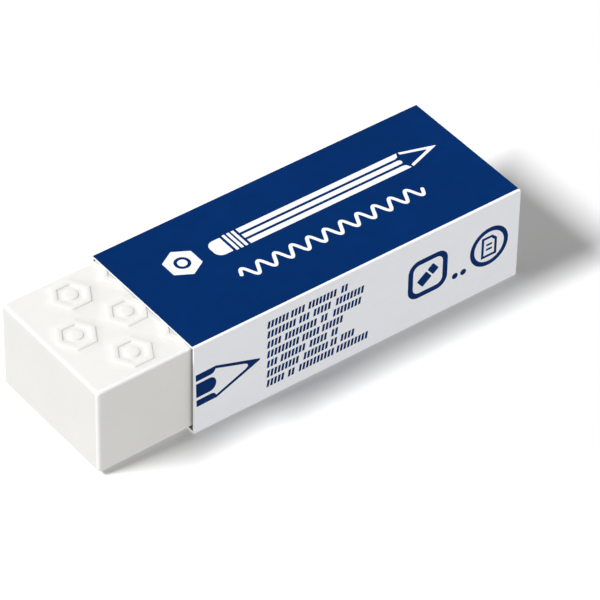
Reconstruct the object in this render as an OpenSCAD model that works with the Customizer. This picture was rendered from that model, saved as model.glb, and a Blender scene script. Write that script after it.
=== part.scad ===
// Block eraser in a folded card sleeve.
//
// A soft white block slides in a sleeve folded from one sheet of thin card,
// open at both ends. Millimetres, +Z up. The origin is on the resting plane,
// below the middle of the overall length and of the sleeve's width. X runs
// along the block: its bare end points to -X, the sleeve fills the +X side.
// The front long side of the sleeve faces -Y.

/* [Overall] */
// Length from the bare end of the block to the far edge of the sleeve
total_l = 65; // [56:0.5:74]
// Length of block that stands out of the sleeve's mouth
bare_l = 13.9; // [6:0.1:25]

/* [Block] */
// Width of the block
block_w = 20.5; // [18:0.1:24]
// Height of the block, without its relief
block_h = 13; // [10:0.1:15]
// Radius of the block's edges
edge_r = 0.3; // [0.2:0.05:1]
// How far the covered end stands back from the sleeve's far edge
recess = 0.15; // [0.05:0.05:1]

/* [Relief] */
// Height of the motifs that stand up from the block's top face
relief_h = 0.16; // [0.06:0.02:0.3]
// Width of one six-sided motif, across its flats
motif_w = 5; // [3:0.1:5.4]
// Width of the motif's raised band
band_w = 0.85; // [0.4:0.05:1]
// Radius of the raised dot in the middle of the motif
dot_r = 0.95; // [0.3:0.05:1]
// Distance from one motif to the next along a row
motif_pitch = 7.5; // [6.8:0.1:9]
// Distance from the middle row to each outer row
row_pitch = 6.5; // [5.6:0.1:6.6]
// Distance from the bare end to the first motif of the middle row
first_motif = 4.1; // [3.6:0.1:6]

/* [Sleeve] */
// Thickness of the card
card_t = 0.28; // [0.2:0.02:0.34]
// Outside radius of the folds
fold_r = 0.38; // [0.36:0.01:0.7]
// Width of the glued lap inside the underside, from the rear fold
lap_w = 12; // [6:0.5:16]
// Gap left at the rear between the outer bottom panel's cut edge and the face
seam_gap = 0.5; // [0.45:0.05:0.9]

/* [Fit] */
// Clearance between the block and the front side panel
front_gap = 0.35; // [0.06:0.01:0.5]
// Clearance between the block and the rear side panel
rear_gap = 0.09; // [0.06:0.01:0.3]
// Clearance between the relief and the top panel
top_gap = 0.06; // [0.06:0.01:0.3]
// Clearance between the block and the lap that it lies on
floor_gap = 0.04; // [0.02:0.01:0.1]

/* [Hidden] */
$fn = 48;

// Derived sizes of the sleeve
sleeve_w = block_w + front_gap + rear_gap + 2*card_t;
sleeve_h = 3*card_t + floor_gap + block_h + relief_h + top_gap;
sleeve_l = total_l - bare_l;
// Where things stand along X
x_bare = -total_l/2;
x_mouth = x_bare + bare_l;
x_far = total_l/2;
// The block
block_l = total_l - recess;
block_y = (front_gap - rear_gap)/2;
block_z = 2*card_t + floor_gap;
block_top = block_z + block_h;
// Inside radius of a fold
fold_in = fold_r - card_t;
// Motifs that fit whole on the face
last_x = block_l - motif_w/sqrt(3) - edge_r - 0.3;
mid_n = floor((last_x - first_motif)/motif_pitch);
out_n = floor((last_x - first_motif - motif_pitch/2)/motif_pitch);

// A rectangle from [0, 0] with round corners, made from true arcs
module round_rect(w, h, r) {
    translate([r, 0]) square([w - 2*r, h]);
    translate([0, r]) square([w, h - 2*r]);
    for (x = [r, w - r], y = [r, h - r]) translate([x, y]) circle(r);
}

// The block's body: one prism for each direction, so that every edge is round
module block_body() {
    translate([x_bare, block_y, block_z]) intersection() {
        translate([0, -block_w/2, 0]) rotate([90, 0, 90])
            linear_extrude(block_l) round_rect(block_w, block_h, edge_r);
        translate([0, block_w/2, 0]) rotate([90, 0, 0])
            linear_extrude(block_w) round_rect(block_l, block_h, edge_r);
        translate([0, -block_w/2, 0])
            linear_extrude(block_h) round_rect(block_l, block_w, edge_r);
    }
}

// One raised motif: a six-sided band round a dot
module motif() {
    linear_extrude(relief_h + 0.2) {
        difference() {
            circle(d = motif_w*2/sqrt(3), $fn = 6);
            circle(d = (motif_w - 2*band_w)*2/sqrt(3), $fn = 6);
        }
        circle(dot_r);
    }
}

// Three staggered rows of motifs over the whole top face
module relief() {
    translate([x_bare, block_y, block_top - 0.2]) {
        for (i = [0:mid_n])
            translate([first_motif + i*motif_pitch, 0, 0]) motif();
        for (i = [0:out_n], s = [-1, 1])
            translate([first_motif + (i + 0.5)*motif_pitch, s*row_pitch, 0]) motif();
    }
}

module eraser_block() {
    color([0.95, 0.95, 0.935]) union() {
        block_body();
        relief();
    }
}

// Quarter of a fold about [0, 0], in the quadrant that turn puts it in
module fold(turn) {
    rotate(turn) intersection() {
        difference() {
            circle(fold_r);
            circle(fold_in);
        }
        square(fold_r + 1);
    }
}

// The sleeve's section, drawn with the block's width along x and height along y.
// One strip of card: outer bottom panel, front side, top, rear side, then the
// lap, which turns in above the outer bottom panel and is glued to it.
module sleeve_section() {
    w = sleeve_w/2;
    h = sleeve_h;
    r = fold_r;
    t = card_t;
    // outer bottom panel, from its cut edge at the rear to the front fold
    translate([-w + r, 0]) square([2*w - r - seam_gap, t]);
    translate([-w + r, r]) fold(180);
    // front side panel
    translate([-w, r]) square([t, h - 2*r]);
    translate([-w + r, h - r]) fold(90);
    // top panel
    translate([-w + r, h - t]) square([2*w - 2*r, t]);
    translate([w - r, h - r]) fold(0);
    // rear side panel
    translate([w - t, t + r]) square([t, h - t - 2*r]);
    translate([w - r, t + r]) fold(270);
    // glued lap
    translate([w - lap_w, t]) square([lap_w - r, t]);
}

module card_sleeve() {
    color([0, 0.18, 0.41]) translate([x_mouth, 0, 0]) rotate([90, 0, 90])
        linear_extrude(sleeve_l) sleeve_section();
}

eraser_block();
card_sleeve();
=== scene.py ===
import math

import bpy
import numpy as np
from mathutils import Matrix, Vector, noise
from mathutils.geometry import delaunay_2d_cdt


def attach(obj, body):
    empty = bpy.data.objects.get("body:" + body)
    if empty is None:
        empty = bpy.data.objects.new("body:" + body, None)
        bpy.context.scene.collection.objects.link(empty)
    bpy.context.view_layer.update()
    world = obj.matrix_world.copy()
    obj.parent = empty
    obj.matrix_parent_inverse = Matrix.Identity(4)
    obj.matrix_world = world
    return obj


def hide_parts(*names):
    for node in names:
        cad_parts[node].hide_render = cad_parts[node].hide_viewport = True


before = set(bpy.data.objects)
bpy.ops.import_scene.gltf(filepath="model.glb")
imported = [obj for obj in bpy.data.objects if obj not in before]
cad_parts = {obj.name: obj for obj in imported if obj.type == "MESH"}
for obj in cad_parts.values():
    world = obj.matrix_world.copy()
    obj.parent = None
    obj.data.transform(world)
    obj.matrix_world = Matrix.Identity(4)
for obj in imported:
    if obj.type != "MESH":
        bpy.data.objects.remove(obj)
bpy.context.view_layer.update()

MM = 0.001
scene = bpy.context.scene

# ---------------------------------------------------------------- sizes, mm
# the block, as the construction has it
BX0, BX1 = -32.5, 32.35
BY, BYC = 10.20, 0.18  # half its width, and where its middle lies
BZ0, BZ1 = 0.6, 13.6
BR = 0.42
RELIEF = 0.172
MOTIF_W, BAND_W, DOT_R = 5.0, 0.85, 0.95
PITCH, ROW, FIRST = 7.5, 6.5, 4.1
# the sleeve
SX0, SX1 = -18.6, 32.5
SL = SX1 - SX0
W2, SH, T, R = 10.75, 14.1, 0.28, 0.29
SEAM, LAP, GLUE = 0.5, 12.0, 0.012


# ------------------------------------------------------------------- camera
def make_camera():
    az, el, roll = (math.radians(v) for v in (-37.782, 41.143, 1.127))
    back = Vector((math.sin(az) * math.cos(el), -math.cos(az) * math.cos(el), math.sin(el)))
    right = Vector((math.cos(az), math.sin(az), 0.0))
    up = back.cross(right)
    right, up = (
        right * math.cos(roll) + up * math.sin(roll),
        up * math.cos(roll) - right * math.sin(roll),
    )
    data = bpy.data.cameras.new("camera")
    data.sensor_width = 36.0
    data.lens = 4408.65 * 36.0 / 600.0
    data.clip_start, data.clip_end = 0.01, 20.0
    cam = bpy.data.objects.new("camera", data)
    scene.collection.objects.link(cam)
    m = Matrix((right, up, back)).transposed().to_4x4()
    m.translation = Vector((5.83, 0.0, 1.803)) * MM + back * (560.0 * MM)
    cam.matrix_world = m
    scene.camera = cam


# ------------------------------------------------------------ node shorthand
class Tree:
    def __init__(self, name):
        self.mat = bpy.data.materials.new(name)
        self.mat.use_nodes = True
        self.nt = self.mat.node_tree
        self.nt.nodes.clear()
        self.out = self.nt.nodes.new("ShaderNodeOutputMaterial")
        self.p = self.nt.nodes.new("ShaderNodeBsdfPrincipled")
        self.link(self.p.outputs["BSDF"], self.out.inputs["Surface"])
        self.obj = self.nt.nodes.new("ShaderNodeTexCoord").outputs["Object"]

    def link(self, a, b):
        self.nt.links.new(a, b)

    def put(self, socket, value):
        if hasattr(value, "is_linked"):
            self.link(value, socket)
        else:
            socket.default_value = value

    def math(self, op, a, b=0.0, c=None, clamp=False):
        n = self.nt.nodes.new("ShaderNodeMath")
        n.operation = op
        n.use_clamp = clamp
        self.put(n.inputs[0], a)
        self.put(n.inputs[1], b)
        if c is not None:
            self.put(n.inputs[2], c)
        return n.outputs[0]

    def scaled(self, vector, by):
        n = self.nt.nodes.new("ShaderNodeVectorMath")
        n.operation = "MULTIPLY"
        self.link(vector, n.inputs[0])
        n.inputs[1].default_value = by
        return n.outputs[0]

    def noise(self, scale, detail=3.0, rough=0.55, vector=None, distortion=0.0):
        n = self.nt.nodes.new("ShaderNodeTexNoise")
        n.inputs["Scale"].default_value = scale
        n.inputs["Detail"].default_value = detail
        n.inputs["Roughness"].default_value = rough
        n.inputs["Distortion"].default_value = distortion
        self.link(vector or self.obj, n.inputs["Vector"])
        return n.outputs["Fac"]

    def voronoi(self, scale, feature="F1", vector=None, randomness=1.0):
        n = self.nt.nodes.new("ShaderNodeTexVoronoi")
        n.feature = feature
        n.inputs["Scale"].default_value = scale
        n.inputs["Randomness"].default_value = randomness
        self.link(vector or self.obj, n.inputs["Vector"])
        return n.outputs["Distance"]

    def ramp(self, fac, stops):
        n = self.nt.nodes.new("ShaderNodeValToRGB")
        el = n.color_ramp.elements
        while len(el) < len(stops):
            el.new(0.5)
        for e, (at, colour) in zip(el, stops):
            e.position = at
            e.color = (*colour, 1.0) if len(colour) == 3 else colour
        self.link(fac, n.inputs["Fac"])
        return n.outputs["Color"]

    def span(self, value, a, b, lo, hi, smooth=False):
        n = self.nt.nodes.new("ShaderNodeMapRange")
        n.interpolation_type = "SMOOTHSTEP" if smooth else "LINEAR"
        n.clamp = True
        self.put(n.inputs["Value"], value)
        for key, v in (("From Min", a), ("From Max", b), ("To Min", lo), ("To Max", hi)):
            n.inputs[key].default_value = v
        return n.outputs["Result"]

    def mix(self, fac, a, b, kind="MIX"):
        n = self.nt.nodes.new("ShaderNodeMix")
        n.data_type = "RGBA"
        n.blend_type = kind
        self.put(n.inputs[0], fac)
        self.put(n.inputs[6], a if hasattr(a, "is_linked") else (*a, 1.0))
        self.put(n.inputs[7], b if hasattr(b, "is_linked") else (*b, 1.0))
        return n.outputs[2]

    def bump(self, height, strength, distance, normal=None):
        n = self.nt.nodes.new("ShaderNodeBump")
        n.inputs["Strength"].default_value = strength
        n.inputs["Distance"].default_value = distance
        self.link(height, n.inputs["Height"])
        if normal is not None:
            self.link(normal, n.inputs["Normal"])
        return n.outputs["Normal"]

    def xyz(self):
        n = self.nt.nodes.new("ShaderNodeSeparateXYZ")
        self.link(self.obj, n.inputs[0])
        return n.outputs


# ---------------------------------------------------------------- materials
def vinyl():
    """Soft white vinyl: a dusty matte skin, a little mottled, paler along the edges, which is a painted highlight.
    """
    t = Tree("white_vinyl")
    x, y, z = t.xyz()
    hx, hy, hz = (BX1 - BX0) / 2 * MM, BY * MM, (BZ1 - BZ0) / 2 * MM
    cx, cz = (BX1 + BX0) / 2 * MM, (BZ1 + BZ0) / 2 * MM
    dx = t.math("SUBTRACT", hx, t.math("ABSOLUTE", t.math("SUBTRACT", x, cx)))
    dy = t.math("SUBTRACT", hy, t.math("ABSOLUTE", t.math("SUBTRACT", y, BYC * MM)))
    dz = t.math("SUBTRACT", hz, t.math("ABSOLUTE", t.math("SUBTRACT", z, cz)))
    # the middle one of the three depths is the distance to the nearest edge
    mid = t.math("MAXIMUM", t.math("MINIMUM", dx, dy), t.math("MINIMUM", t.math("MAXIMUM", dx, dy), dz))
    wander = t.noise(900.0, 4.0, 0.6)
    # a band along every edge, where the painted highlight goes
    edge = t.span(t.math("ADD", mid, t.math("MULTIPLY", t.math("SUBTRACT", wander, 0.5), 0.00022)), 0.00010, 0.00052, 1.0, 0.0, True)
    soft = t.noise(140.0, 3.0, 0.5)
    fine = t.noise(1600.0, 4.0, 0.6)
    body = t.ramp(t.math("ADD", t.math("MULTIPLY", soft, 0.6), t.math("MULTIPLY", fine, 0.4)),
                  [(0.25, (0.762, 0.754, 0.722)), (0.5, (0.782, 0.776, 0.750)), (0.75, (0.798, 0.793, 0.770))])
    # scattered darker specks of dust, far apart and very small
    speck = t.span(t.voronoi(620.0), 0.02, 0.055, 1.0, 0.0, True)
    speck = t.math("MULTIPLY", speck, t.span(t.noise(70.0, 2.0), 0.56, 0.66, 0.0, 0.35))
    colour = t.mix(speck, body, (0.60, 0.585, 0.55))
    # painted highlight along the edges: strongest on the uprights and the long upper edges, hardly any on the end's
    # level ones
    painted_edge_highlight = t.math("MULTIPLY", edge, t.span(dy, 0.0004, 0.0012, 0.78, 0.0, True))
    # less of the painted highlight low down on the long sides, away from the ends
    low = t.math("MULTIPLY", t.span(dx, 0.0004, 0.0012, 0.0, 1.0, True), t.span(z, 0.003, 0.011, 0.65, 0.0))
    painted_edge_highlight = t.math("MULTIPLY", painted_edge_highlight, t.math("SUBTRACT", 1.0, low))
    # mix the painted edge highlight into the vinyl's colour
    colour = t.mix(painted_edge_highlight, colour, (0.985, 0.985, 0.975))
    t.link(colour, t.p.inputs["Base Color"])
    t.link(t.span(fine, 0.3, 0.7, 0.58, 0.72), t.p.inputs["Roughness"])
    t.p.inputs["Specular IOR Level"].default_value = 0.38
    t.p.inputs["Subsurface Weight"].default_value = 0.12
    t.p.inputs["Subsurface Radius"].default_value = (1.0, 0.95, 0.85)
    t.p.inputs["Subsurface Scale"].default_value = 0.00035
    # skin: fine grain, faint long drag lines from the die, shallow dimples
    drag = t.noise(1.0, 3.0, 0.5, vector=t.scaled(t.obj, (60.0, 2600.0, 2600.0)))
    grain = t.math("ADD", t.math("MULTIPLY", fine, 0.55), t.math("MULTIPLY", t.noise(5200.0, 2.0), 0.45))
    n = t.bump(grain, 0.16, 0.00008)
    n = t.bump(drag, 0.10, 0.00006, n)
    n = t.bump(t.noise(330.0, 2.0), 0.12, 0.00022, n)
    t.link(n, t.p.inputs["Normal"])
    return t.mat


def card_skin(t, strength):
    """The calendered face of coated board: long fibres under the coating, and a fine tooth."""
    fibre = t.noise(1.0, 4.0, 0.6, vector=t.scaled(t.obj, (700.0, 2300.0, 2300.0)), distortion=0.6)
    tooth = t.noise(6500.0, 2.0, 0.5)
    n = t.bump(fibre, 0.10 * strength, 0.00007)
    n = t.bump(tooth, 0.07 * strength, 0.00005, n)
    n = t.bump(t.noise(120.0, 2.0), 0.05 * strength, 0.0004, n)
    return n, fibre, tooth


def printed_blue():
    """Dark blue ink, one solid field, printed under a thin satin varnish."""
    t = Tree("dark_blue_print")
    n, fibre, tooth = card_skin(t, 1.0)
    mottle = t.noise(420.0, 4.0, 0.6)
    cloud = t.noise(55.0, 2.0, 0.5)
    tone = t.math("ADD", t.math("MULTIPLY", mottle, 0.55), t.math("MULTIPLY", cloud, 0.45))
    ink = t.ramp(tone, [(0.30, (0.0002, 0.0215, 0.1130)), (0.5, (0.0003, 0.0240, 0.1260)), (0.72, (0.0005, 0.0270, 0.1380))])
    # pinholes, where the ink missed a fibre
    pin = t.math("MULTIPLY", t.span(t.voronoi(900.0), 0.015, 0.045, 1.0, 0.0, True), t.span(t.noise(110.0, 1.0), 0.60, 0.68, 0.0, 0.4))
    t.link(t.mix(pin, ink, (0.16, 0.22, 0.36)), t.p.inputs["Base Color"])
    t.link(t.span(tooth, 0.3, 0.7, 0.40, 0.50), t.p.inputs["Roughness"])
    t.p.inputs["Specular IOR Level"].default_value = 0.02
    t.link(n, t.p.inputs["Normal"])
    return t.mat


def card_white():
    """The bare coated face of the board, a cool bright white."""
    t = Tree("white_coated_card")
    n, fibre, tooth = card_skin(t, 1.0)
    tone = t.math("ADD", t.math("MULTIPLY", t.noise(300.0, 4.0, 0.6), 0.5), t.math("MULTIPLY", fibre, 0.5))
    t.link(t.ramp(tone, [(0.3, (0.862, 0.872, 0.902)), (0.55, (0.882, 0.892, 0.922)), (0.75, (0.896, 0.906, 0.934))]), t.p.inputs["Base Color"])
    t.link(t.span(tooth, 0.3, 0.7, 0.46, 0.58), t.p.inputs["Roughness"])
    t.p.inputs["Specular IOR Level"].default_value = 0.30
    t.link(n, t.p.inputs["Normal"])
    return t.mat


def card_inside():
    """The uncoated back of the board, a little grey, with its fibres showing; darker still as painted shade, so the
    narrow gap at the mouth stays dark.
    """
    t = Tree("uncoated_card_back")
    fibre = t.noise(1.0, 5.0, 0.65, vector=t.scaled(t.obj, (500.0, 2600.0, 2600.0)), distortion=1.2)
    tone = t.math("ADD", t.math("MULTIPLY", t.noise(600.0, 4.0, 0.6), 0.5), t.math("MULTIPLY", fibre, 0.5))
    # grey board, darkened further as painted shade for the gap at the mouth
    t.link(t.ramp(tone, [(0.3, (0.27, 0.265, 0.25)), (0.5, (0.33, 0.325, 0.305)), (0.7, (0.39, 0.385, 0.365))]), t.p.inputs["Base Color"])
    t.p.inputs["Roughness"].default_value = 0.88
    t.p.inputs["Specular IOR Level"].default_value = 0.2
    t.link(t.bump(fibre, 0.4, 0.00012), t.p.inputs["Normal"])
    return t.mat


def card_edge():
    """The die-cut edge: white pulp, torn a little into layers."""
    t = Tree("cut_card_edge")
    layers = t.noise(1.0, 3.0, 0.6, vector=t.scaled(t.obj, (2600.0, 5200.0, 9000.0)), distortion=0.8)
    t.link(t.ramp(layers, [(0.3, (0.92, 0.93, 0.95)), (0.5, (0.96, 0.97, 0.985)), (0.7, (0.98, 0.985, 0.99))]), t.p.inputs["Base Color"])
    t.p.inputs["Roughness"].default_value = 0.85
    t.p.inputs["Specular IOR Level"].default_value = 0.25
    t.link(t.bump(layers, 0.3, 0.00006), t.p.inputs["Normal"])
    return t.mat


# -------------------------------------------------------------- flat shapes
def arc(cx, cy, r, a0, a1, n):
    return [(cx + r * math.cos(math.radians(a0 + (a1 - a0) * i / n)), cy + r * math.sin(math.radians(a0 + (a1 - a0) * i / n))) for i in range(n + 1)]


def circle(cx, cy, r, n=48):
    return arc(cx, cy, r, 0, 360, n)[:-1]


def rounded(x0, y0, x1, y1, r, n=6):
    """A rectangle with round corners; r may be one radius or four, from the low left one round against the clock."""
    r0, r1, r2, r3 = r if isinstance(r, tuple) else (r,) * 4
    out = []
    for cx, cy, rr, a in ((x0 + r0, y0 + r0, r0, 180), (x1 - r1, y0 + r1, r1, 270), (x1 - r2, y1 - r2, r2, 0), (x0 + r3, y1 - r3, r3, 90)):
        out += arc(cx, cy, rr, a, a + 90, n) if rr > 0 else [(cx, cy)]
    return out


def polygon_round(sides, inradius, corner, n=4, turn=0.0, cx=0.0, cy=0.0):
    """A regular polygon with round corners, its first corner at the angle turn."""
    out = []
    half = 180.0 / sides
    out_r = (inradius - corner) / math.cos(math.radians(half))
    for k in range(sides):
        a = turn + 360.0 * k / sides
        px, py = cx + out_r * math.cos(math.radians(a)), cy + out_r * math.sin(math.radians(a))
        out += arc(px, py, corner, a - half, a + half, n)
    return out


def turned(loop, degrees, cx, cy):
    c, s = math.cos(math.radians(degrees)), math.sin(math.radians(degrees))
    return [(cx + x * c - y * s, cy + x * s + y * c) for x, y in loop]


def stroke(points, width):
    """The outline of a pen line along points, with round ends."""
    p = np.array(points)
    d = np.gradient(p, axis=0)
    d /= np.linalg.norm(d, axis=1)[:, None]
    nrm = np.stack([-d[:, 1], d[:, 0]], axis=1)
    a0, a1 = (math.degrees(math.atan2(v[1], v[0])) for v in (d[0], d[-1]))
    left = (p + nrm * width / 2).tolist()
    right = (p - nrm * width / 2)[::-1].tolist()
    end = arc(p[-1][0], p[-1][1], width / 2, a1 + 90, a1 - 90, 8)[1:-1]
    start = arc(p[0][0], p[0][1], width / 2, a0 - 90, a0 - 270, 8)[1:-1]
    return [tuple(q) for q in left] + end + [tuple(q) for q in right] + start


def pencil_tip(x0, x1, xl, cy, half, line, blunt=0.05):
    """A pencil's cone in outline with a solid lead: from x0 to the point at x1, the lead from xl, the point as wide as blunt each way."""
    def edge(x, off):  # the cone's outer line, moved inwards by off
        return half * (x1 - x) / (x1 - x0) - off
    thick = line * math.hypot(1.0, half / (x1 - x0))
    bow = 0.16 * half
    inner = [(xl + bow * (1.0 - f ** 2), cy + f * edge(xl, thick)) for f in np.linspace(-1, 1, 11)]
    return [(x0, cy + half), (x0, cy + half - thick)] + inner[::-1] + [(x0, cy - half + thick), (x0, cy - half)] + arc(x1 - 1.6 * blunt, cy, blunt, -70, 70, 6)


# ------------------------------------------------------------------- meshes
def inside(loops, pts):
    """Even-odd test of many points against the loops of one shape."""
    hit = np.zeros(len(pts), bool)
    for loop in loops:
        a = np.array(loop)
        b = np.roll(a, -1, axis=0)
        for (x0, y0), (x1, y1) in zip(a, b):
            if y0 == y1:
                continue
            cross = (pts[:, 1] > min(y0, y1)) & (pts[:, 1] <= max(y0, y1))
            xs = x0 + (pts[:, 1] - y0) * (x1 - x0) / (y1 - y0)
            hit ^= cross & (pts[:, 0] < xs)
    return hit


def build(name, verts, faces, slots, face_slots, sharp=35.0):
    mesh = bpy.data.meshes.new(name)
    mesh.from_pydata([tuple(v) for v in np.asarray(verts) * MM], [], faces)
    for m in slots:
        mesh.materials.append(m)
    mesh.polygons.foreach_set("material_index", np.asarray(face_slots, dtype=np.int32))
    mesh.polygons.foreach_set("use_smooth", np.ones(len(faces), bool))
    mesh.set_sharp_from_angle(angle=math.radians(sharp))
    mesh.validate()
    mesh.update()
    ob = bpy.data.objects.new(name, mesh)
    scene.collection.objects.link(ob)
    return ob


class Weld:
    """Collects points and faces; points that fall together are one."""

    def __init__(self):
        self.key, self.verts, self.faces, self.slots = {}, [], [], []

    def v(self, p):
        k = tuple(int(round(c * 20000)) for c in p)
        if k not in self.key:
            self.key[k] = len(self.verts)
            self.verts.append(tuple(float(c) for c in p))
        return self.key[k]

    def face(self, ids, slot=0):
        kept = [a for i, a in enumerate(ids) if a != ids[i - 1]]
        if len(kept) > 2:
            self.faces.append(kept)
            self.slots.append(slot)


# -------------------------------------------------------------------- block
def lines(lo, hi, step):
    """Grid lines between two edges, closer together near each."""
    near = [0.0, 0.15, 0.4, 0.9]
    n = max(2, int(round((hi - lo - 1.8) / step)))
    mid = [lo + 0.9 + (hi - lo - 1.8) * i / n for i in range(n + 1)]
    return [lo + d for d in near[:-1]] + mid + [hi - d for d in near[:-1]][::-1]


def motif_places():
    last = (BX1 - BX0) - MOTIF_W / math.sqrt(3) - BR - 0.3
    mid_n = math.floor((last - FIRST) / PITCH)
    out_n = math.floor((last - FIRST - PITCH / 2) / PITCH)
    out = [(BX0 + FIRST + i * PITCH, 0.0) for i in range(mid_n + 1)]
    out += [(BX0 + FIRST + (i + 0.5) * PITCH, s * ROW) for i in range(out_n + 1) for s in (-1, 1)]
    return out


def motif_contours():
    """The loops of one raised motif, each with its height: both sides of the band, then the dot."""
    w, steps = 0.085, (-1.0, -0.6, -0.2, 0.2, 0.6, 1.0)
    top = RELIEF - 0.012
    out = []
    for q in steps:
        d = q * w
        f = (q + 1) / 2
        h = top * f * f * (3 - 2 * f)
        out.append((polygon_round(6, MOTIF_W / 2 - d, 0.34 - d), h))
        out.append((polygon_round(6, MOTIF_W / 2 - BAND_W + d, 0.24 + d), h))
        out.append((circle(0, 0, DOT_R - d, 32), h))
    out.append((polygon_round(6, MOTIF_W / 2 - BAND_W / 2, 0.3), RELIEF))
    out.append((circle(0, 0, 0.4, 14), RELIEF))
    return out


def block_mesh():
    g = Weld()
    xs = lines(BX0 + BR, BX1 - BR, 1.3)
    ys = lines(-BY + BR, BY - BR, 1.3)
    zs = lines(BZ0 + BR, BZ1 - BR, 1.3)
    n = 6
    ang = [math.pi / 2 * i / n for i in range(n + 1)]

    def grid(f, us, vs, flip):
        ids = [[g.v(f(u, v)) for v in vs] for u in us]
        for i in range(len(us) - 1):
            for j in range(len(vs) - 1):
                q = [ids[i][j], ids[i + 1][j], ids[i + 1][j + 1], ids[i][j + 1]]
                g.face(q[::-1] if flip else q)

    # flat faces, apart from the top one
    grid(lambda u, v: (u, v, BZ0), xs, ys, True)
    grid(lambda u, v: (u, -BY, v), xs, zs, False)
    grid(lambda u, v: (u, BY, v), xs, zs, True)
    grid(lambda u, v: (BX0, u, v), ys, zs, True)
    grid(lambda u, v: (BX1, u, v), ys, zs, False)
    # round edges: along x, y and z
    for sy in (-1, 1):
        for zc, sz in ((BZ0 + BR, -1), (BZ1 - BR, 1)):
            grid(lambda u, a, sy=sy, zc=zc, sz=sz: (u, sy * (BY - BR + BR * math.cos(a)), zc + sz * BR * math.sin(a)), xs, ang, sy * sz > 0)
    for xc, sx in ((BX0 + BR, -1), (BX1 - BR, 1)):
        for zc, sz in ((BZ0 + BR, -1), (BZ1 - BR, 1)):
            grid(lambda u, a, xc=xc, sx=sx, zc=zc, sz=sz: (xc + sx * BR * math.cos(a), u, zc + sz * BR * math.sin(a)), ys, ang, sx * sz < 0)
        for sy in (-1, 1):
            grid(lambda u, a, xc=xc, sx=sx, sy=sy: (xc + sx * BR * math.cos(a), sy * (BY - BR + BR * math.sin(a)), u), zs, ang, sx * sy > 0)
    # round corners: rows of a sphere's eighth, one more point in each
    for xc, sx in ((BX0 + BR, -1), (BX1 - BR, 1)):
        for sy in (-1, 1):
            for zc, sz in ((BZ0 + BR, -1), (BZ1 - BR, 1)):
                rows = []
                for i in range(n + 1):
                    th = ang[i]
                    row = []
                    for j in range(i + 1):
                        ph = math.pi / 2 * j / i if i else 0.0
                        row.append(g.v((xc + sx * BR * math.sin(th) * math.cos(ph), sy * (BY - BR) + sy * BR * math.sin(th) * math.sin(ph), zc + sz * BR * math.cos(th))))
                    rows.append(row)
                for i in range(n):
                    for j in range(i + 1):
                        tri = [rows[i][j], rows[i + 1][j], rows[i + 1][j + 1]]
                        g.face(tri if sx * sy * sz > 0 else tri[::-1])
                        if j < i:
                            tri = [rows[i][j], rows[i + 1][j + 1], rows[i][j + 1]]
                            g.face(tri if sx * sy * sz > 0 else tri[::-1])
    # the top face, cut along every level of the relief
    pts, hs, edges = [], [], []
    ring = [(x, ys[0]) for x in xs] + [(xs[-1], y) for y in ys[1:]] + [(x, ys[-1]) for x in xs[::-1][1:]] + [(xs[0], y) for y in ys[::-1][1:-1]]
    for p in ring:
        pts.append(p)
        hs.append(0.0)
    edges += [(i, (i + 1) % len(ring)) for i in range(len(ring))]
    places = motif_places()
    loops = motif_contours()
    for cx, cy in places:
        for loop, h in loops:
            start = len(pts)
            for x, y in loop:
                pts.append((cx + x, cy + y))
                hs.append(h)
            edges += [(start + i, start + (i + 1) % len(loop)) for i in range(len(loop))]
        pts.append((cx, cy))
        hs.append(RELIEF + 0.004)
    centres = np.array(places)
    for x in xs[1:-1]:
        for y in ys[1:-1]:
            if np.min(np.hypot(centres[:, 0] - x, centres[:, 1] - y)) > MOTIF_W / math.sqrt(3) + 0.25:
                pts.append((x, y))
                hs.append(0.0)
    vs2, _, tris, ov, _, _ = delaunay_2d_cdt([Vector(p) for p in pts], edges, [], 0, 1e-6)
    ids = []
    for p, orig in zip(vs2, ov):
        h = hs[orig[0]] if orig else 0.0
        ids.append(g.v((p[0], p[1], BZ1 + h)))
    for tri in tris:
        a, b, c = (Vector(vs2[i]) for i in tri)
        turn = (b - a).cross(c - a) if len(a) == 2 else 0
        area = turn if isinstance(turn, float) else (b.x - a.x) * (c.y - a.y) - (b.y - a.y) * (c.x - a.x)
        g.face([ids[i] for i in (tri if area > 0 else tri[::-1])])
    # a moulded block is never dead flat: let the skin wander by a few hundredths
    v = np.array(g.verts)
    out = []
    for x, y, z in v:
        p = Vector((x, y, z))
        q = noise.noise_vector(p / 9.0 + Vector((3.1, 7.7, 1.3))) * 0.018 + noise.noise_vector(p / 2.6) * 0.006
        # its near side spreads a little where the card does not hold it
        free = min(1.0, max(0.0, (SX0 - x) / (SX0 - BX0)))
        out.append((x + q.x, y + BYC + q.y - 0.16 * free * max(0.0, -y / BY), z + q.z * 0.6))
    return np.array(out), g.faces, g.slots


# ------------------------------------------------------------------- sleeve
ARC = math.pi / 2 * R
LENGTHS = [2 * W2 - SEAM - R, ARC, SH - 2 * R, ARC, 2 * W2 - 2 * R, ARC, SH - T - GLUE - 2 * R, ARC, LAP - R]
STARTS = np.concatenate([[0.0], np.cumsum(LENGTHS)])
S_END = float(STARTS[-1])
S_FRONT, S_TOP, S_REAR = float(STARTS[2]), float(STARTS[4]), float(STARTS[6])
LOW = T + GLUE


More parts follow.
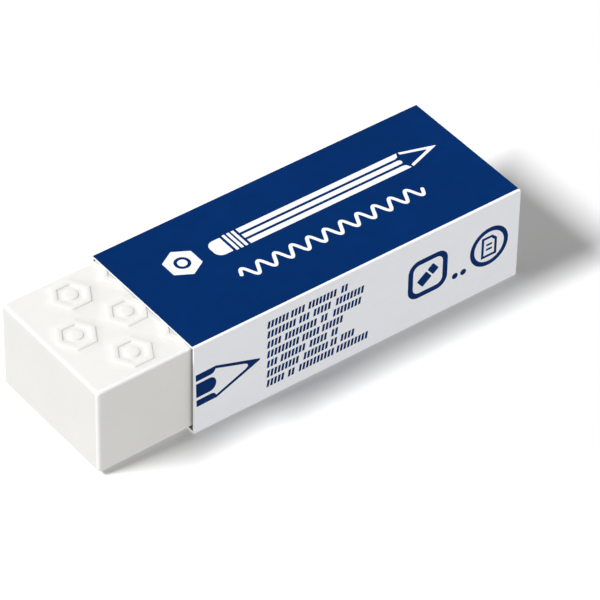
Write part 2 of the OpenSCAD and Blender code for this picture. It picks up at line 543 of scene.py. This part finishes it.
def folded(s):
    """Where a point at the distance s along the sheet's outer face comes to lie once it is folded: y, z and the outward normal."""
    s = np.asarray(s, float)
    k = np.clip(np.searchsorted(STARTS, s, side="right") - 1, 0, 8)
    f = s - STARTS[k]
    y, z, ny, nz = (np.zeros_like(s) for _ in range(4))

    def flat(i, y0, z0, dy, dz, my, mz):
        m = k == i
        y[m], z[m], ny[m], nz[m] = y0 + dy * f[m], z0 + dz * f[m], my, mz

    def bend(i, yc, zc, a0, a1):
        m = k == i
        a = np.radians(a0 + (a1 - a0) * f[m] / ARC)
        ny[m], nz[m] = np.cos(a), np.sin(a)
        # scored board turns its corner more tightly than a circle does
        y[m] = yc + R * np.sign(ny[m]) * np.sqrt(np.abs(ny[m]))
        z[m] = zc + R * np.sign(nz[m]) * np.sqrt(np.abs(nz[m]))

    flat(0, W2 - SEAM, 0.0, -1, 0, 0, -1)
    bend(1, -W2 + R, R, 270, 180)
    flat(2, -W2, R, 0, 1, -1, 0)
    bend(3, -W2 + R, SH - R, 180, 90)
    flat(4, -W2 + R, SH, 1, 0, 0, 1)
    bend(5, W2 - R, SH - R, 90, 0)
    flat(6, W2, SH - R, 0, -1, 1, 0)
    bend(7, W2 - R, LOW + R, 0, -90)
    flat(8, W2 - R, LOW, -1, 0, 0, -1)
    return y, z, ny, nz, k, f


def place(x, s, depth):
    """A point of the sheet in space; depth runs inwards from the outer face."""
    x, s = np.asarray(x, float), np.asarray(s, float)
    y, z, ny, nz, k, f = folded(s)
    tau = f / np.array(LENGTHS)[k]
    crown = 4 * tau * (1 - tau)
    xi = x / SL
    amp = np.select([k == 2, k == 4, k == 6], [0.035, 0.04, 0.06], 0.0)
    lift = amp * crown * (0.72 + 0.28 * np.cos(2 * math.pi * (xi - 0.42)))
    ripple = np.array([noise.noise(Vector((a / 7.0, b / 6.0, 4.2))) for a, b in zip(np.atleast_1d(x), np.atleast_1d(s))]).reshape(x.shape)
    lift = lift + 0.016 * ripple * np.minimum(1.0, 2.5 * crown) * (amp > 0)
    off = lift - depth
    return np.stack([SX0 + x, y + ny * off, z + nz * off], axis=-1)


# print: (slot, loops) in the sheet's own coordinates; later ones lie over earlier ones
BLUE, WHITE = 0, 1


def on_top(loop):
    return [(x, S_TOP + y + W2 - R) for x, y in loop]


def on_front(loop):
    return [(x, S_FRONT + z - R) for x, z in loop]


def print_shapes():
    out = []
    white = lambda *loops: out.append((WHITE, [on_top(q) for q in loops]))
    navy = lambda *loops: out.append((BLUE, [on_front(q) for q in loops]))
    # mark: the end of a six-sided pencil
    cx, cy = 8.2, 3.0
    white(polygon_round(6, 2.2, 0.22, turn=30, cx=cx, cy=cy), circle(cx, cy, 1.12), circle(cx, cy, 0.66, 32))
    # a long pencil, seen from the side
    cy, half = 2.68, 1.65
    white(rounded(12.5, cy - 1.5, 14.75, cy + 1.5, (1.1, 0.12, 0.12, 1.1)))
    for x in (15.15, 15.85, 16.55):
        white(rounded(x, cy - half, x + 0.42, cy + half, 0.08, 3))
    x0, x1 = 17.35, 42.6
    white([(x0, cy + 0.80), (x1 - 0.55, cy + 0.80), (x1 - 0.1, cy + 1.0), (x1 + 0.22, cy + half), (x0, cy + half)])
    white([(x0, cy - half), (x1 + 0.22, cy - half), (x1 - 0.1, cy - 1.0), (x1 - 0.55, cy - 0.80), (x0, cy - 0.80)])
    white([(x0, cy - 0.38), (x1 - 0.5, cy - 0.38)] + arc(x1 - 0.5, cy, 0.38, -90, 90, 8)[1:-1] + [(x1 - 0.5, cy + 0.38), (x0, cy + 0.38)])
    white(pencil_tip(x1 + 0.5, 48.0, 46.2, cy, half, 0.42))
    # the line that it drew
    wave = [(12.8 + 28.4 * i / 330, -3.15 + 0.98 * math.sin(2 * math.pi * 11 * i / 330)) for i in range(331)]
    white(stroke(wave, 0.5))
    # front: a short pencil that runs in from the mouth
    cz, half = 6.95, 2.64
    askew = lambda loop: turned([(x - 0.3, z - cz) for x, z in loop], 1.5, 0.3, cz)
    navy(askew([(0.3, cz + 1.58), (2.65, cz + 1.58), (3.0, cz + 1.72), (3.25, cz + 2.05), (3.4, cz + half), (0.3, cz + half)]))
    navy(askew([(0.3, cz - half), (3.4, cz - half), (3.25, cz - 2.05), (3.0, cz - 1.72), (2.65, cz - 1.58), (0.3, cz - 1.58)]))
    bulge = [(2.35 + 1.0 * math.cos(a), cz + 1.13 * math.sin(a)) for a in np.linspace(-math.pi / 2, math.pi / 2, 15)]
    navy(askew([(0.3, cz - 1.13)] + bulge + [(0.3, cz + 1.13)]))
    navy(askew(pencil_tip(3.26, 10.15, 7.75, cz, half + 0.04, 0.44, 0.17)))
    # front: seven rows of short slanting bars, in groups
    rows = [
        (12.05, (3.1, 2.2, 4.6, 0.9)), (10.45, (4.4, 1.7, 3.0, 4.2)), (8.8, (2.2, 5.1, 1.4, 4.3)), (7.2, (4.9, 2.6, 3.3)),
        (5.6, (1.6, 4.0, 2.9, 1.0)), (4.0, (5.2, 3.7, 1.1, 2.2)), (2.4, (2.8, 1.2, 5.4, 4.8)),
    ]
    for z, words in rows:
        x = 11.2
        for w in words:
            for i in range(int(round(w / 0.56))):
                q = x + 0.56 * i
                navy([(q - 0.12, z - 0.56), (q + 0.26, z - 0.56), (q + 0.42, z + 0.56), (q + 0.04, z + 0.56)])
            x += w + 0.5
    # front: two plain marks with a pair of dots between them
    navy(rounded(33.2, 4.35, 39.55, 10.55, 1.7, 10), rounded(34.0, 5.15, 38.75, 9.75, 1.0, 8))
    navy(turned(rounded(-1.6, -0.76, 0.25, 0.76, 0.2), 38, 36.35, 7.45))
    navy(turned(rounded(0.5, -0.76, 1.65, 0.76, 0.2), 38, 36.35, 7.45))
    navy(circle(40.85, 5.0, 0.48, 24))
    navy(circle(42.2, 5.0, 0.48, 24))
    navy(circle(46.3, 7.25, 3.1, 64), circle(46.3, 7.25, 2.4, 56))
    sheet = [(45.05, 5.55), (47.55, 5.55), (47.55, 8.2), (46.8, 8.95), (45.05, 8.95)]
    inner = [(45.45, 5.95), (47.15, 5.95), (47.15, 8.03), (46.63, 8.55), (45.45, 8.55)]
    navy(sheet, inner)
    navy(rounded(45.8, 7.4, 46.8, 7.74, 0.1, 2))
    navy(rounded(45.8, 6.65, 46.8, 6.99, 0.1, 2))
    return out


def sleeve_mesh():
    g = Weld()
    # lines across the sheet: fine through the folds, and where the blue begins and ends
    blue_rear, blue_low = S_REAR + 0.25, LENGTHS[0] - 0.35
    blue_front = lambda x: S_TOP + 0.12 + 0.04 * x / SL  # printed a hair askew
    ss = []
    for i, (a, length) in enumerate(zip(STARTS, LENGTHS)):
        n = 8 if i % 2 else max(4, int(round(length / 1.3)))
        ss += [float(a + length * j / n) for j in range(n)]
    ss.append(S_END)
    folds = [float(STARTS[i] + LENGTHS[i] * j / 8) for i in (1, 3, 5, 7) for j in range(9)]
    for s in (blue_rear, blue_low):
        ss.append(s)
        folds.append(s)
    ss = sorted(set(round(s, 6) for s in ss))
    folds = sorted(set(round(s, 6) for s in folds))
    xs = [SL * i / 32 for i in range(33)]
    pts, index = [], {}
    for i, x in enumerate(xs):
        for j, s in enumerate(ss):
            index[i, j] = len(pts)
            pts.append((x, s))
    edges = []
    for j, s in enumerate(ss):
        if s in folds or j in (0, len(ss) - 1):
            edges += [(index[i, j], index[i + 1, j]) for i in range(len(xs) - 1)]
    for i in (0, len(xs) - 1):
        edges += [(index[i, j], index[i, j + 1]) for j in range(len(ss) - 1)]
    start = len(pts)
    pts += [(x, blue_front(x)) for x in xs]
    edges += [(start + i, start + i + 1) for i in range(len(xs) - 1)]
    shapes = print_shapes()
    for _, loops in shapes:
        for loop in loops:
            start = len(pts)
            pts += [tuple(p) for p in loop]
            edges += [(start + i, start + (i + 1) % len(loop)) for i in range(len(loop))]
    vs2, _, tris, _, _, _ = delaunay_2d_cdt([Vector(p) for p in pts], edges, [], 0, 1e-6)
    flat = np.array([tuple(v)[:2] for v in vs2])
    tris = np.array([list(t) for t in tris])
    mid = flat[tris].mean(axis=1)
    slot = np.where(((mid[:, 1] > blue_front(mid[:, 0])) & (mid[:, 1] < blue_rear)) | (mid[:, 1] < blue_low), BLUE, WHITE)
    for colour, loops in shapes:
        every = np.array([p for loop in loops for p in loop])
        lo, hi = every.min(axis=0), every.max(axis=0)
        near = np.where(np.all((mid > lo) & (mid < hi), axis=1))[0]
        slot[near[inside(loops, mid[near])]] = colour
    outer = [g.v(p) for p in place(flat[:, 0], flat[:, 1], 0.0)]
    area = np.cross(flat[tris[:, 1]] - flat[tris[:, 0]], flat[tris[:, 2]] - flat[tris[:, 0]])
    for tri, c, a in zip(tris, slot, area):
        g.face([outer[i] for i in (tri if a > 0 else tri[::-1])], int(c))
    # the inner face and the four cut edges
    gx, gs = np.meshgrid(xs, ss, indexing="ij")
    back = place(gx.ravel(), gs.ravel(), T).reshape(len(xs), len(ss), 3)
    front = place(gx.ravel(), gs.ravel(), 0.0).reshape(len(xs), len(ss), 3)
    bi = [[g.v(back[i, j]) for j in range(len(ss))] for i in range(len(xs))]
    fi = [[g.v(front[i, j]) for j in range(len(ss))] for i in range(len(xs))]
    for i in range(len(xs) - 1):
        for j in range(len(ss) - 1):
            g.face([bi[i][j], bi[i][j + 1], bi[i + 1][j + 1], bi[i + 1][j]], 2)
    for j in range(len(ss) - 1):
        g.face([fi[0][j], fi[0][j + 1], bi[0][j + 1], bi[0][j]], 3)
        g.face([fi[-1][j + 1], fi[-1][j], bi[-1][j], bi[-1][j + 1]], 3)
    for i in range(len(xs) - 1):
        g.face([fi[i + 1][0], fi[i][0], bi[i][0], bi[i + 1][0]], 3)
        g.face([fi[i][-1], fi[i + 1][-1], bi[i + 1][-1], bi[i][-1]], 3)
    return np.array(g.verts), g.faces, g.slots


# ------------------------------------------------------- stage and lighting
def stage_and_light(pieces):
    mesh = bpy.data.meshes.new("floor")
    mesh.from_pydata([(-2.5, -2.5, 0), (2.5, -2.5, 0), (2.5, 2.5, 0), (-2.5, 2.5, 0)], [], [(0, 1, 2, 3)])
    floor = bpy.data.objects.new("floor", mesh)
    scene.collection.objects.link(floor)
    t = Tree("pale_floor")
    t.link(t.ramp(t.noise(12.0, 2.0), [(0.3, (0.915, 0.915, 0.915)), (0.7, (0.925, 0.925, 0.925))]), t.p.inputs["Base Color"])
    t.p.inputs["Roughness"].default_value = 0.9
    t.p.inputs["Specular IOR Level"].default_value = 0.1
    mesh.materials.append(t.mat)
    # the light that a wide white floor throws back up comes from the world's lower half
    floor.visible_diffuse = False

    def hang(name, data, back, along, lit):
        """Hang a light that shines along -back; it lights only the objects in lit."""
        z = Vector(back).normalized()
        x = Vector(along)
        x = (x - z * x.dot(z)).normalized()
        ob = bpy.data.objects.new(name, data)
        m = Matrix((x, z.cross(x), z)).transposed().to_4x4()
        m.translation = Vector(back)
        ob.matrix_world = m
        scene.collection.objects.link(ob)
        group = bpy.data.collections.new(name + "_lights")
        for piece in lit:
            group.objects.link(piece)
        ob.light_linking.receiver_collection = group

    def softbox(name, towards, strength, width, lit):
        """A broad round light, far off in one direction."""
        sun = bpy.data.lights.new(name, "SUN")
        sun.energy = strength
        sun.angle = math.radians(width)
        hang(name, sun, towards, (1.0, 0.0, 0.0), lit)

    # the floor's key stands lower than the object's, for the long shadow in the photograph;
    # it is a slanting strip, so that the shadow fades slowly at its far corner
    a, b = Vector((-1.18, 0.10, 1.0)) * 2.2, Vector((-0.76, 0.41, 1.0)) * 2.2
    strip = bpy.data.lights.new("floor_key", "AREA")
    strip.shape = "RECTANGLE"
    strip.size, strip.size_y = (b - a).length, 0.26
    strip.energy = 108.0
    hang("floor_key", strip, (a + b) / 2, b - a, [floor])
    softbox("object_key", (-0.60, 0.33, 1.0), 2.86, 9.0, pieces)
    softbox("front_fill", (-0.15, -1.0, 0.20), 1.12, 50.0, pieces)

    world = bpy.data.worlds.new("studio")
    scene.world = world
    world.use_nodes = True
    nt = world.node_tree
    nt.nodes.clear()
    out = nt.nodes.new("ShaderNodeOutputWorld")
    bg = nt.nodes.new("ShaderNodeBackground")
    tc = nt.nodes.new("ShaderNodeTexCoord")
    sep = nt.nodes.new("ShaderNodeSeparateXYZ")
    nt.links.new(tc.outputs["Generated"], sep.inputs[0])

    def number(kind, a, b):
        n = nt.nodes.new("ShaderNodeMath")
        n.operation = kind
        for socket, v in zip(n.inputs, (a, b)):
            if hasattr(v, "is_linked"):
                nt.links.new(v, socket)
            else:
                socket.default_value = v
        return n.outputs[0]

    def levels(stops):
        """A strength for each height of the sky, from straight down at 0 to straight up at 1."""
        n = nt.nodes.new("ShaderNodeValToRGB")
        for i, (at, level) in enumerate(stops):
            stop = n.color_ramp.elements[i] if i < 2 else n.color_ramp.elements.new(at)
            stop.position = at
            stop.color = (level, level, level, 1.0)
        nt.links.new(number("ADD", number("MULTIPLY", sep.outputs["Z"], 0.5), 0.5), n.inputs["Fac"])
        return n.outputs["Color"]

    # white below and at the horizon; above it a softer light, most of it from behind
    down = levels([(0.515, 0.84), (0.55, 0.0)])
    up = levels([(0.515, 0.0), (0.55, 0.40), (1.0, 0.36)])
    slope = number("ADD", number("MULTIPLY", sep.outputs["Y"], 0.9), 0.95)
    nt.links.new(number("ADD", down, number("MULTIPLY", up, slope)), bg.inputs["Strength"])
    bg.inputs["Color"].default_value = (1.0, 1.0, 1.0, 1.0)
    nt.links.new(bg.outputs[0], out.inputs["Surface"])
    scene.view_settings.view_transform = "Standard"
    scene.view_settings.look = "None"
    scene.view_settings.exposure = 0.0
    scene.view_settings.gamma = 1.0


# ---------------------------------------------------------------- the object
make_camera()

verts, faces, slots = block_mesh()
block = build("block_body", verts, faces, [vinyl()], slots)
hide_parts("eraser_block")
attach(block, "block")

verts, faces, slots = sleeve_mesh()
sleeve = build("sleeve_sheet", verts, faces, [printed_blue(), card_white(), card_inside(), card_edge()], slots)
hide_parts("card_sleeve")
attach(sleeve, "sleeve")

stage_and_light([block, sleeve])
